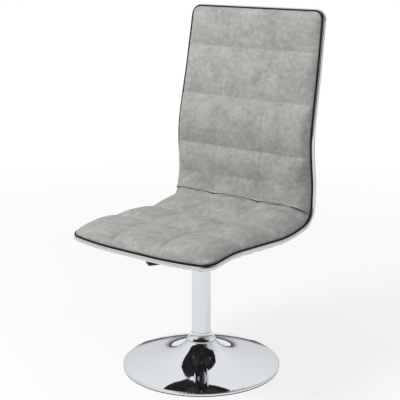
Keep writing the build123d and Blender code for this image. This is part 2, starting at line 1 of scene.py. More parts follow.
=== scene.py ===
"""Swivel dining chair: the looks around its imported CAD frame.

Everything is in metres in the row frame: +Z up, the origin on the floor under the column, the seat
facing -Y, and +X at the sitter's left. A reach is a length along the shell line, and a height is
measured at right angles to it.
"""

import math
import bmesh
import bpy
import numpy as np
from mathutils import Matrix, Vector, noise


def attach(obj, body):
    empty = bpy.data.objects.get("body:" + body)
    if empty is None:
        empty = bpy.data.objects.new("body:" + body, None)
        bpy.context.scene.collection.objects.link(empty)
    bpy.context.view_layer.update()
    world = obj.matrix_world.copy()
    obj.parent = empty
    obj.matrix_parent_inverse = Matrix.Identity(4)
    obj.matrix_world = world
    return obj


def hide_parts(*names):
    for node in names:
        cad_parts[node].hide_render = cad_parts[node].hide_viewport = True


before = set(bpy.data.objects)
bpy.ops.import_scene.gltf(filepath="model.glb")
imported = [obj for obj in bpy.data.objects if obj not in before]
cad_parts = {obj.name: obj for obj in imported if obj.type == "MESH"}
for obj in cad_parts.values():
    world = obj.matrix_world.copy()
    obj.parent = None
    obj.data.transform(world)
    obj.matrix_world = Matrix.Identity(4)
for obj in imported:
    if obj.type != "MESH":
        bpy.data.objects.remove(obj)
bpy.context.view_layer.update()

# ---- the shell line: side view of the plane that the front piping lies on, in Y and Z ----------

SHELL_CORNERS = [
    (-0.264, 0.368),
    (-0.155, 0.3815),
    (0.0695, 0.3685),
    (0.1745, 0.3865),
    (0.181, 0.480),
    (0.170, 0.5905),
    (0.2015, 0.7495),
    (0.2285, 0.912),
]
SHELL_RADII = [0.350, 0.350, 0.052, 0.147, 0.362, 0.330]
HEEL = 2                    # which of those radii is the heel's
TABLE_STEP = 0.0005
UPRIGHT_ROWS = 600          # rows at the table's end in which Z only rises
SEAT_HALF = 0.2192
TOP_HALF = 0.2048
TAPER_Z = 0.3865            # the back narrows from this height up to TOP_Z
TOP_Z = 0.912
BOW_FLAT = 0.056            # half of the straight stretch in the middle of the front edge
BOW_REACH = 0.1200          # where the front edge's slanted runs would meet the straight one
BOW_DEPTH = 0.018
FRONT_CORNER = 0.0345
FRONT_CORNER_ROWS = 8
TOP_CORNER = 0.023
TOP_CORNER_ROWS = 7
SLACK = 1e-6                # lengths that differ by less are the same

# ---- pads --------------------------------------------------------------------------------------

PAD_INSET = 0.0023
COLUMN_X = 0.0731           # the two seams that run from front to top
CELL = 0.0066               # size of the cloth's cells
FINER = 0.4                 # how much the cells shrink towards an end that rolls over
ROW_PROFILE = (2.8, 1.15)   # sharpness and fullness of a panel towards its row seams
COLUMN_PROFILE = (2.6, 1.20)
SEAM_NORM = 1.2             # how row and column seams add up where they cross
RIM_HEIGHT = 0.0030
CORNER_LEAN = 0.2           # share of the distance from the end that counts at a rounded corner

SEAT_CROWNS = [0.0285, 0.0315, 0.0395]
SEAT_SEAM_HEIGHTS = [0.0180, 0.0200]
SEAT_COLUMN_DROPS = [0.0075, 0.0080, 0.0085]
SEAT_SIDE_ROLLS = [(0.060, 1.6), (0.057, 1.5), (0.056, 1.5)]    # radius and power in each row
FRONT_DROP = 0.003          # from the front panels' crown to their height at the front
FRONT_ROLL = 0.045

BACK_CROWNS = [0.0325, 0.0225, 0.0165, 0.0125]
BACK_SEAM_HEIGHTS = [0.0165, 0.0105, 0.0065]
BACK_COLUMN_DROPS = [0.0060, 0.0045, 0.0035, 0.0025]
BACK_SIDE_ROLLS = [(0.027, 1.5), (0.022, 1.5), (0.021, 1.5), (0.020, 1.5)]
TOP_DROP = 0.002
TOP_ROLL = 0.016

JOINT_HEIGHT = 0.0400       # where the seat and the back pads meet
JOINT_BULGE = 0.0080        # how much higher the joint lies between the column seams
JOINT_SHIFT = 0.0150        # and how much further up the shell
JOINT_SIDE_DROP = 0.0060    # how much it sinks towards the pads' sides
JOINT_POWER = 2.2           # roundness of its scallops
JOINT_GAP = 0.0006          # from the joint to either pad
JOINT_ROLL = (0.005, 2.3)
JOINT_LEAST = 0.70          # share of the height that is left at the joint

SWELL_PRESSURE = 4.0
SWELL_FRAMES = 16
SWELL_CAP = 0.006           # how far the cloth may swell
SWELL_FADE = 0.030          # distance from the joint within which it may swell less
SWELL_LEAST = 0.04          # share of the cap that is left at the joint
SEAM_CREASE = 0.75

# ---- covers behind and under the shell ---------------------------------------------------------

COVER_TOP = -0.0113         # the shell's underside, where both covers lie
COVER_SPLIT = 0.396         # height at which they meet
COVER_GAP = 0.0003
HEM = 0.011                 # from a cover's edge to its stitches or staples

REAR_INSET = 0.0035
REAR_START = [0, 0.002, 0.0045]     # its first rows, close together for the rolled edge
REAR_ROWS = 62
REAR_COLUMNS = 53
REAR_FINER = 0.25           # how much its cells shrink towards the sides
REAR_EDGE_ROLL = 0.010
REAR_START_ROLL = 0.007
REAR_LEAST = 0.0006         # thickness at the very edge
REAR_PADDING = 0.0028
REAR_CROWN = 0.0022         # how much thicker the middle is
REAR_HEM_DEPTH = 0.0008
REAR_HEM_WIDTH = 0.0024

UNDER_INSET = 0.0018
UNDER_DEPTH = 0.0012        # from the shell down to the cloth's middle
UNDER_CLOTH = 0.0006        # its thickness
BOARD_HALF = 0.1003         # the room for the mounting board
BOARD_CELLS = 24            # cells across that room
SIDE_CELLS = 14             # on either side of it
END_CELLS = 17              # before it and behind it
FOLDS = (17, 0.0005, 0.03)      # waves per metre, size, and distance from the edge they grow over
PULLS = (0.046, 0.0004, 0.016)  # pitch, size, and distance from the edge they fade over
STAPLE_DEPTH = 0.0017
STAPLE_PITCH = 0.046
STAPLE_LENGTH = 0.0115
STAPLE_RADIUS = 0.00055

# ---- stage -------------------------------------------------------------------------------------

CAMERA_PLACE = (1.5655, -1.9723, 1.0770)
CAMERA_AZIMUTH = 38.44      # degrees
CAMERA_PITCH = 14.1         # degrees down
FOCAL_PIXELS = 1026.9
IMAGE_PIXELS = 400
SENSOR = 36.0
SHIFT_X = -0.0032

WORLD_LIGHT = 0.30
WHITE = (1.0, 1.0, 1.0)
DARK_SIDE = (0.94, -0.27, 0.19)         # towards the unlit side of the studio
SIDE_TONES = [(0.10, WHITE), (0.60, (0.66, 0.66, 0.67)), (0.95, (0.42, 0.42, 0.43))]
DARK_CEILING = (0.357, -0.449, 0.819)   # towards the unlit ceiling in front of the chair
CEILING_TONES = [(0.80, WHITE), (0.90, (0.10, 0.10, 0.11))]
WALL_TONES = [
    (0.0, (0.10, 0.10, 0.11)),
    (0.045, (0.12, 0.12, 0.13)),
    (0.13, (0.78, 0.78, 0.79)),
    (0.35, (0.88, 0.88, 0.89)),
    (0.65, WHITE),
]
FLOOR_HALF = 40
FLOOR_WHITE = 0.80          # how white the floor looks round the chair
FLOOR_NEAR = 0.4            # it gets whiter from this distance
FLOOR_FAR = 2.6             # and is all white at this one


# ================================================================================================
# Shell line
# ================================================================================================

def shell_table():
    """Rows of reach, Y, Z and heading along the shell line with its corners rounded, and the
    reach of the heel's middle."""
    corners = [np.array(c) for c in SHELL_CORNERS]
    runs = [(b - a) / np.linalg.norm(b - a) for a, b in zip(corners, corners[1:])]
    headings = [math.atan2(run[1], run[0]) for run in runs]
    pieces = []             # start, heading, length and bend of each run and arc
    start = corners[0]
    heel_reach = 0
    for index, radius in enumerate(SHELL_RADII):
        turn = headings[index + 1] - headings[index]
        tangent = radius * math.tan(abs(turn) / 2)
        corner = corners[index + 1]
        arc_start = corner - runs[index] * tangent
        bend = math.copysign(1 / radius, turn)
        pieces.append((start, headings[index], np.linalg.norm(arc_start - start), 0))
        pieces.append((arc_start, headings[index], radius * abs(turn), bend))
        start = corner + runs[index + 1] * tangent
        if index == HEEL:
            heel_reach = sum(piece[2] for piece in pieces) - radius * abs(turn) / 2
    pieces.append((start, headings[-1], np.linalg.norm(corners[-1] - start), 0))
    rows = []
    reach = 0
    for start, heading, length, bend in pieces:
        for along in np.linspace(0, length, max(2, int(length / TABLE_STEP))):
            if bend:
                y = start[0] + (math.sin(heading + bend * along) - math.sin(heading)) / bend
                z = start[1] - (math.cos(heading + bend * along) - math.cos(heading)) / bend
            else:
                y = start[0] + math.cos(heading) * along
                z = start[1] + math.sin(heading) * along
            rows.append((reach + along, y, z, heading + bend * along))
        reach += length
    return np.array(rows).T, heel_reach


(REACH, LINE_Y, LINE_Z, HEADING), HEEL_REACH = shell_table()
SHELL_LENGTH = REACH[-1]
RUN_UP = math.cos(HEADING[0])
BOW_ANGLE = math.atan2(BOW_DEPTH, SEAT_HALF - BOW_REACH)
BOW_RADIUS = (BOW_REACH - BOW_FLAT) / math.tan(BOW_ANGLE / 2)
FRONT_CORNER_X = SEAT_HALF - FRONT_CORNER
FRONT_CORNER_Y = (
    (FRONT_CORNER_X - BOW_REACH) * math.tan(BOW_ANGLE) + FRONT_CORNER / math.cos(BOW_ANGLE)
)
JOINT_REACH = HEEL_REACH + 0.0153
SEAT_SEAMS = [HEEL_REACH - 0.280, HEEL_REACH - 0.141]
BACK_SEAMS = [SHELL_LENGTH - 0.364, SHELL_LENGTH - 0.234, SHELL_LENGTH - 0.104]


def place(x, reach, height):
    """Points at a width, a reach and a height over the shell line."""
    x, reach, height = np.broadcast_arrays(x, reach, height)
    heading = np.interp(reach, REACH, HEADING)
    y = np.interp(reach, REACH, LINE_Y) - np.sin(heading) * height
    z = np.interp(reach, REACH, LINE_Z) + np.cos(heading) * height
    return np.stack([x, y, z], axis=-1)


def half_width(reach):
    """Half of the piping line's width at a reach."""
    z = np.interp(reach, REACH, LINE_Z)
    back = np.asarray(reach) > HEEL_REACH
    share = np.where(back, np.clip((z - TAPER_Z) / (TOP_Z - TAPER_Z), 0, 1), 0)
    return SEAT_HALF - share * (SEAT_HALF - TOP_HALF)


def bow(x, inset):
    """How far the bowed front edge lies behind the foremost line, at an inset from the piping."""
    x = np.abs(x)
    radius = BOW_RADIUS - inset
    end = BOW_FLAT + radius * math.sin(BOW_ANGLE)
    arc = BOW_RADIUS - np.sqrt(radius**2 - np.clip(x - BOW_FLAT, 0, end - BOW_FLAT) ** 2)
    return arc + math.tan(BOW_ANGLE) * np.clip(x - end, 0, None)


def front_reach(x, inset):
    return bow(x, inset) / RUN_UP


def front_corner_rows(inset, far_reach):
    """(share of the way to far_reach, half width) of rows that follow the rounded front corner."""
    radius = FRONT_CORNER - inset
    rows = []
    for angle in np.linspace(BOW_ANGLE - math.pi / 2, 0, FRONT_CORNER_ROWS):
        x = FRONT_CORNER_X + radius * math.cos(angle)
        reach = (FRONT_CORNER_Y + radius * math.sin(angle)) / RUN_UP
        start = front_reach(x, inset)
        rows.append((max(0, (reach - start) / (far_reach - start)), x))
    return rows


def top_corner_rows(inset, height=0.0):
    """(reach, half width) of rows that follow the rounded top corner, at a height over the line."""
    radius = TOP_CORNER - inset
    rows = []
    for angle in np.linspace(0, math.pi / 2, TOP_CORNER_ROWS):
        z = TOP_Z - TOP_CORNER + radius * math.sin(angle) - height * math.cos(HEADING[-1])
        reach = np.interp(z, LINE_Z[-UPRIGHT_ROWS:], REACH[-UPRIGHT_ROWS:])
        side = half_width(reach) - TOP_CORNER
        rows.append((reach, side + radius * math.cos(angle)))
    return rows


# ================================================================================================
# Meshes
# ================================================================================================

def new_object(name, points, faces):
    mesh = bpy.data.meshes.new(name)
    mesh.from_pydata([tuple(p) for p in points], [], faces)
    mesh.update()
    piece = bpy.data.objects.new(name, mesh)
    bpy.context.scene.collection.objects.link(piece)
    return piece


def coordinates(mesh):
    flat = np.empty(len(mesh.vertices) * 3)
    mesh.vertices.foreach_get("co", flat)
    return flat.reshape(-1, 3)


def grid_faces(rows, columns):
    faces = []
    for i in range(rows - 1):
        for j in range(columns - 1):
            a = i * columns + j
            faces.append((a, a + 1, a + columns + 1, a + columns))
    return faces


def round_off(piece, levels):
    """Subdivides a piece, applies all its modifiers and shades it smooth."""
    rounding = piece.modifiers.new("rounding", "SUBSURF")
    rounding.levels = rounding.render_levels = levels
    graph = bpy.context.evaluated_depsgraph_get()
    mesh = bpy.data.meshes.new_from_object(piece.evaluated_get(graph))
    piece.modifiers.clear()
    piece.data = mesh
    piece.data.shade_smooth()


def close_pad(name, upper, x, reach, base=0.0004, inset=0.0006):
    """Closed pad: outer cloth, short sides down to the shell at height base, flat inner side."""
    rows, columns, _ = upper.shape
    points = list(upper.reshape(-1, 3))
    faces = grid_faces(rows, columns)
    ring = [(0, j) for j in range(columns)]
    ring += [(i, columns - 1) for i in range(1, rows)]
    ring += [(rows - 1, j) for j in range(columns - 2, -1, -1)]
    ring += [(i, 0) for i in range(rows - 2, 0, -1)]
    lower = {}
    for i, j in ring:
        lower[i, j] = len(points)
        points.append(place(x[i, j] - math.copysign(inset, x[i, j]), reach[i, j], base))
    for (a, b), (c, d) in zip(ring, ring[1:] + ring[:1]):
        faces.append((c * columns + d, a * columns + b, lower[a, b], lower[c, d]))
    last = columns - 1
    for i in range(1, rows - 2):
        faces.append((lower[i + 1, 0], lower[i + 1, last], lower[i, last], lower[i, 0]))
    first_row = [lower[0, j] for j in range(columns - 1, -1, -1)]
    last_row = [lower[rows - 1, j] for j in range(columns)]
    faces.append(first_row + [lower[1, 0], lower[1, last]])
    faces.append(last_row + [lower[rows - 2, last], lower[rows - 2, 0]])
    pad = new_object(name, points, faces)
    mesh = bmesh.new()
    mesh.from_mesh(pad.data)
    crease = mesh.edges.layers.float.new("crease_edge")
    under = set(lower.values())
    for edge in mesh.edges:
        if all(v.index in under for v in edge.verts):
            edge[crease] = 1
    bmesh.ops.recalc_face_normals(mesh, faces=mesh.faces)
    mesh.to_mesh(pad.data)
    mesh.free()
    return pad


def stitches(name, lines, pitch=0.0052, length=0.0036, radius=0.00035):
    """Sewing thread along lines of points, sunk halfway into the cloth."""
    stations = [(-1, 0.05), (-0.75, 0.8), (0, 1), (0.75, 0.8), (1, 0.05)]
    sides = 6
    points = []
    faces = []
    for line in lines:
        reach = np.concatenate([[0], np.cumsum(np.linalg.norm(np.diff(line, axis=0), axis=1))])
        for middle in np.arange(pitch / 2, reach[-1] - pitch / 2, pitch):
            start, end = [
                np.array([np.interp(middle + half, reach, line[:, k]) for k in range(3)])
                for half in (-length / 2, length / 2)
            ]
            way = end - start
            way /= np.linalg.norm(way)
            across = np.cross(way, (0.3, 0.5, 0.8))
            across /= np.linalg.norm(across)
            up = np.cross(across, way)
            centre = (start + end) / 2
            base = len(points)
            for along, thick in stations:
                for side in range(sides):
                    turn = 2 * math.pi * side / sides
                    outward = across * math.cos(turn) + up * math.sin(turn)
                    points.append(centre + way * along * length / 2 + radius * thick * outward)
            for ring in range(len(stations) - 1):
                for side in range(sides):
                    a = base + ring * sides + side
                    b = base + ring * sides + (side + 1) % sides
                    faces.append((a, b, b + sides, a + sides))
    thread = new_object(name, points, faces)
    thread.data.shade_smooth()
    return thread


# ================================================================================================
# Quilted pads
# ================================================================================================

def even_cells(start, end, finer_start=False, finer_end=False):
    """Values from start to end about a cell apart, with smaller cells at an end that rolls over."""
    count = max(4, round(abs(end - start) / CELL))
    t = np.linspace(0, 1, count + 1)
    if finer_end:
        t = (1 - FINER) * t + FINER * np.sin(t * math.pi / 2)
    if finer_start:
        t = 1 - ((1 - FINER) * (1 - t) + FINER * np.sin((1 - t) * math.pi / 2))
    return start + (end - start) * t


def columns_at(half):
    """Widths of a row's points: three panels between the two column seams."""
    outer = even_cells(COLUMN_X, SEAT_HALF - PAD_INSET, finer_end=True)
    outer = COLUMN_X + (outer - COLUMN_X) / (outer[-1] - COLUMN_X) * (half - COLUMN_X)
    inner = even_cells(-COLUMN_X, COLUMN_X)
    return np.concatenate([-outer[::-1], inner[1:-1], outer])


def roll(distance, radius, power=2.0):
    """Share of the full height at a distance from an edge that the pad rolls over to."""
    t = np.clip(distance / radius, 0, 1)
    return (1 - (1 - t) ** power) ** (1 / power)


def outward_share(x, half):
    """0 at a column seam and 1 at the pad's side; negative between the column seams."""
    return (np.abs(x) - COLUMN_X) / (half - COLUMN_X)


def between_seams(x, half):
    """0 in the middle of a column and 1 at its seams, or at the pad's side."""
    outward = outward_share(x, half)
    across = np.where(outward < 0, np.abs(x) / COLUMN_X, np.abs(1 - 2 * outward))
    return np.clip(across, 0, 1)


def sag(across, sharpness, fullness):
    """0 in the middle of a panel and 1 at its seam, with cloth that dives into the seam."""
    return 1 - (1 - np.clip(np.abs(across), 0, 1) ** sharpness) ** (1 / fullness)


def puff(x, half, along, crown, seam_before, seam_after, column_drop):
    """Height of a stuffed panel. along runs from -1 at one row seam to 1 at the next."""
    drop_row = (crown - np.where(along < 0, seam_before, seam_after)) * sag(along, *ROW_PROFILE)
    outer = np.abs(x) > (COLUMN_X + half) / 2
    across = np.where(outer, 0, between_seams(x, half))
    drop_column = column_drop * sag(across, *COLUMN_PROFILE)
    sunk = (np.clip(drop_row, 0, None) ** SEAM_NORM + drop_column**SEAM_NORM) ** (1 / SEAM_NORM)
    return crown - sunk - np.clip(drop_row, None, 0)


def joint_height(x, half):
    """Height of the line where the pads meet: it rises between the column seams."""
    return JOINT_HEIGHT + JOINT_BULGE * (1 - between_seams(x, half) ** JOINT_POWER)


def joint_reach(x, half):
    """Reach of the line where the pads meet."""
    scallop = JOINT_SHIFT * (1 - between_seams(x, half) ** JOINT_POWER)
    return JOINT_REACH + scallop - JOINT_SIDE_DROP * np.clip(outward_share(x, half), 0, 1) ** 2


def joint_dip(distance):
    """Share of a pad's height at a distance from the joint, where the cloth dives in."""
    return JOINT_LEAST + (1 - JOINT_LEAST) * roll(distance, *JOINT_ROLL)


def side_roll(reach, limits, rolls):
    """Radius and power of the roll at the pad's sides; each row of panels has its own."""
    middles = [(a + b) / 2 for a, b in zip(limits, limits[1:])]
    return [np.interp(reach, middles, values) for values in zip(*rolls)]


def rolled_height(height, x, half, side, sides_roll, end_distance, end_roll):
    """A pad's height with its cloth rolled over at its sides, its end and its rounded corners."""
    edge = roll(side - np.abs(x), *sides_roll) * roll(end_distance, end_roll)
    if half < side - SLACK:
        corner = (half - np.abs(x)) + end_distance * CORNER_LEAN
        edge = np.minimum(edge, roll(corner, *sides_roll))
    return RIM_HEIGHT + (height - RIM_HEIGHT) * edge


def rows_at(seams, reaches):
    """Index of the first row at each seam; rows before all the seams have no reach."""
    return [
        next(i for i, reach in enumerate(reaches) if reach is not None and reach >= seam - 1e-9)
        for seam in seams
    ]


def seat_points():
    """Grid of the seat pad's upper cloth: widths, reaches, heights and the seam rows."""
    first, second = SEAT_SEAMS
    side = SEAT_HALF - PAD_INSET
    corner = front_corner_rows(PAD_INSET, first)
    shares = even_cells(corner[-1][0] * first, first)[1:-1] / first
    rows = [(share, None, width) for share, width in corner]
    rows += [(share, None, side) for share in shares]
    rows += [(None, reach, side) for reach in even_cells(first, second)[:-1]]
    rows += [(None, reach, side) for reach in even_cells(second, JOINT_REACH, finer_end=True)]
    grid = []
    for share, reach, half in rows:
        x = columns_at(half)
        start = front_reach(x, PAD_INSET)
        if reach is None:
            reaches = start + share * (first - start)
            seams = (SEAT_CROWNS[0] - FRONT_DROP, SEAT_SEAM_HEIGHTS[0])
            height = puff(x, side, 2 * share - 1, SEAT_CROWNS[0], *seams, SEAT_COLUMN_DROPS[0])
        elif reach < second:
            reaches = np.full_like(x, reach)
            along = 2 * (reach - first) / (second - first) - 1
            height = puff(x, side, along, SEAT_CROWNS[1], *SEAT_SEAM_HEIGHTS, SEAT_COLUMN_DROPS[1])
        else:
            share = (reach - second) / (JOINT_REACH - second)
            end = joint_reach(x, side) - JOINT_GAP
            reaches = second + share * (end - second)
            seams = (SEAT_SEAM_HEIGHTS[1], joint_height(x, side))
            height = puff(x, side, 2 * share - 1, SEAT_CROWNS[2], *seams, SEAT_COLUMN_DROPS[2])
            height *= joint_dip(end - reaches)
        sides_roll = side_roll(reaches, [0, *SEAT_SEAMS, JOINT_REACH], SEAT_SIDE_ROLLS)
        front_distance = reaches - start
        height = rolled_height(height, x, half, side, sides_roll, front_distance, FRONT_ROLL)
        grid.append((x, reaches, height))
    return *np.swapaxes(grid, 0, 1), rows_at(SEAT_SEAMS, [reach for _, reach, _ in rows])


def back_points():
    """Grid of the back pad's front cloth, from the joint up to the top piping."""
    corner = top_corner_rows(PAD_INSET)
    bounds = [*BACK_SEAMS, corner[0][0]]
    reaches = list(even_cells(JOINT_REACH, bounds[0], finer_start=True)[:-1])
    for seam, next_seam in zip(bounds, bounds[1:]):
        reaches += list(even_cells(seam, next_seam)[:-1])
    rows = [(reach, float(half_width(reach)) - PAD_INSET) for reach in reaches] + corner
    limits = [JOINT_REACH, *BACK_SEAMS, SHELL_LENGTH]
    top = len(BACK_CROWNS) - 1
    grid = []
    for reach, half in rows:
        x = columns_at(half)
        side = float(half_width(reach)) - PAD_INSET
        index = min(int(np.searchsorted(limits, reach + 1e-9, "right")) - 1, top)
        along = 2 * (reach - limits[index]) / (limits[index + 1] - limits[index]) - 1
        crown = BACK_CROWNS[index]
        before = BACK_SEAM_HEIGHTS[index - 1] if index else joint_height(x, side)
        after = BACK_SEAM_HEIGHTS[index] if index < top else crown - TOP_DROP
        height = puff(x, side, along, crown, before, after, BACK_COLUMN_DROPS[index])
        reaches = np.full_like(x, reach)
        if index == 0:
            start = joint_reach(x, side) + JOINT_GAP
            reaches = start + (along + 1) / 2 * (BACK_SEAMS[0] - start)
            height *= joint_dip(reaches - start)
        sides_roll = side_roll(reach, limits, BACK_SIDE_ROLLS)
        top_distance = corner[-1][0] - reach
        height = rolled_height(height, x, half, side, sides_roll, top_distance, TOP_ROLL)
        grid.append((x, reaches, height))
    return *np.swapaxes(grid, 0, 1), rows_at(BACK_SEAMS, [reach for reach, _ in rows])


def inflate(points, held, cap):
    """Cloth simulation: the grid swells between the points that are held, by cap at the most."""
    rows, columns, _ = points.shape
    cloth = new_object("cloth", points.reshape(-1, 3), grid_faces(rows, columns))
    group = cloth.vertex_groups.new(name="held")
    for weight in np.unique(held):
        chosen = np.flatnonzero(held.ravel() == weight).tolist()
        group.add(chosen, float(weight), "REPLACE")
    modifier = cloth.modifiers.new("Cloth", "CLOTH")
    settings = modifier.settings
    settings.quality = 6
    settings.mass = 0.25
    settings.air_damping = 4
    settings.tension_stiffness = 25
    settings.compression_stiffness = 25
    settings.shear_stiffness = 12
    settings.bending_stiffness = 0.6
    settings.shrink_min = -0.006
    settings.use_pressure = True
    settings.uniform_pressure_force = SWELL_PRESSURE
    settings.vertex_group_mass = "held"
    settings.pin_stiffness = 1
    settings.effector_weights.gravity = 0
    modifier.point_cache.frame_start = 1
    modifier.point_cache.frame_end = SWELL_FRAMES
    scene = bpy.context.scene
    for number in range(1, SWELL_FRAMES + 1):
        scene.frame_set(number)
    graph = bpy.context.evaluated_depsgraph_get()
    moved = coordinates(cloth.evaluated_get(graph).data).reshape(points.shape)
    scene.frame_set(1)
    bpy.data.objects.remove(cloth)
    shift = moved - points
    length = np.linalg.norm(shift, axis=-1, keepdims=True)
    return points + shift * np.minimum(1, cap[..., None] / np.maximum(length, 1e-9))


def held_weights(x, seam_rows):
    """1 where the cloth is sewn down: round its edge, along row seams and at column seams."""
    held = np.zeros_like(x)
    held[0] = held[-1] = 1
    held[:, 0] = held[:, -1] = 1
    held[seam_rows] = 1
    held[np.isclose(np.abs(x), COLUMN_X, atol=1e-5)] = 1
    return held


def crease_seams(pad, columns, seam_rows, seam_columns):
    """Sharper subdivision along the sewn lines of a pad's upper cloth."""
    layer = pad.data.attributes.get("crease_edge")
    for edge, value in zip(pad.data.edges, layer.data):
        a, b = edge.vertices
        row_a, column_a = divmod(a, columns)
        row_b, column_b = divmod(b, columns)
        if row_a == row_b and row_a in seam_rows and abs(column_a - column_b) == 1:
            value.value = SEAM_CREASE
        if column_a == column_b and column_a in seam_columns and abs(row_a - row_b) == 1:
            value.value = SEAM_CREASE


def make_pad(name, grid, node):
    """A quilted pad and its stitching."""
    x, reach, height, seam_rows = grid
    points = place(x, reach, height)
    from_joint = np.abs(reach - joint_reach(x, SEAT_HALF))
    cap = SWELL_CAP * np.clip(from_joint / SWELL_FADE, SWELL_LEAST, 1)
    points = inflate(points, held_weights(x, seam_rows), cap)
    pad = close_pad(name, points, x, reach)
    middle_row = x[len(x) // 2]
    seam_columns = [int(np.argmin(np.abs(middle_row - seam))) for seam in (-COLUMN_X, COLUMN_X)]
    crease_seams(pad, x.shape[1], seam_rows, seam_columns)
    round_off(pad, 2)
    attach(pad, "seat")
    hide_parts(node)
    lines = [points[row] for row in seam_rows]
    lines += [points[:, column] for column in seam_columns]
    thread = stitches(f"{name}_stitching", lines)
    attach(thread, "seat")
    return pad, thread


# ================================================================================================
# Covers
# ================================================================================================

def reach_on_cover(axis, value, after):
    """Reach at which the covers' plane passes a value of Y (1) or Z (2)."""
    beyond = REACH >= after
    line = place(0, REACH[beyond], COVER_TOP)[:, axis]
    return float(np.interp(value, line, REACH[beyond]))


def rear_thickness(x, half, reach, start, end):
    """Padded cloth: rolled edges, a sewn hem and a slight crown."""
    from_side = half - np.abs(x)
    from_top = end - reach
    edge = roll(from_side, REAR_EDGE_ROLL) * roll(from_top, REAR_EDGE_ROLL)
    edge = edge * roll(reach - start, REAR_START_ROLL)
    hem = np.exp(-(((np.minimum(from_side, from_top) - HEM) / REAR_HEM_WIDTH) ** 2))
    along = np.clip((reach - start) / (end - start), 0, 1)
    crown = REAR_CROWN * (1 - np.clip(np.abs(x / half), 0, 1) ** 2.5) * np.sin(math.pi * along)
    return REAR_LEAST + (REAR_PADDING + crown) * edge - REAR_HEM_DEPTH * hem


def make_rear_cover():
    """Padded cloth behind the back, and the thread along its hem."""
    start = reach_on_cover(2, COVER_SPLIT + COVER_GAP, HEEL_REACH)
    corner = top_corner_rows(REAR_INSET, COVER_TOP)
    end = corner[-1][0]
    reaches = [start + shift for shift in REAR_START]
    reaches += list(np.linspace(start, corner[0][0], REAR_ROWS)[1:-1])
    rows = [(reach, float(half_width(reach)) - REAR_INSET) for reach in reaches] + corner
    t = np.linspace(-1, 1, REAR_COLUMNS)
    t = (1 - REAR_FINER) * t + REAR_FINER * np.sin(t * math.pi / 2)
    x = np.array([t * half for _, half in rows])
    reach = np.array([np.full_like(t, row) for row, _ in rows])
    half = np.array([np.full_like(t, width) for _, width in rows])
    points = place(x, reach, COVER_TOP - rear_thickness(x, half, reach, start, end))
    cover = close_pad("rear_upholstery", points, x, reach, base=COVER_TOP)
    round_off(cover, 1)
    # The thread runs up one side, over the top and down the other side, cutting the corners.
    up = np.linspace(start + 0.006, end - HEM - 0.016, 80)
    side = half_width(up) - REAR_INSET - HEM
    top = np.linspace(side[-1] - 0.012, 0.012 - side[-1], 60)
    x = np.concatenate([side, top, -side[::-1]])
    reach = np.concatenate([up, np.full_like(top, end - HEM), up[::-1]])
    depth = rear_thickness(x, half_width(reach) - REAR_INSET, reach, start, end)
    thread = stitches("rear_stitching", [place(x, reach, COVER_TOP - depth)])
    for piece in (cover, thread):
        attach(piece, "seat")
    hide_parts("rear_cover")
    return cover, thread


def under_height(x, reach, inside):
    """Height of the cloth under the seat: faint folds, and pulls between the staples."""
    waves, fold, growth = FOLDS
    pitch, pull, fade = PULLS
    folds = np.array([noise.noise(Vector((a * waves, b * waves, 3.7))) for a, b in zip(x, reach)])
    fading = np.exp(-np.clip(inside, 0, None) / fade)
    pulls = np.cos(2 * math.pi * (np.abs(x) + reach) / pitch) * fading
    return COVER_TOP - UNDER_DEPTH + fold * folds * np.clip(inside / growth, 0, 1) + pull * pulls


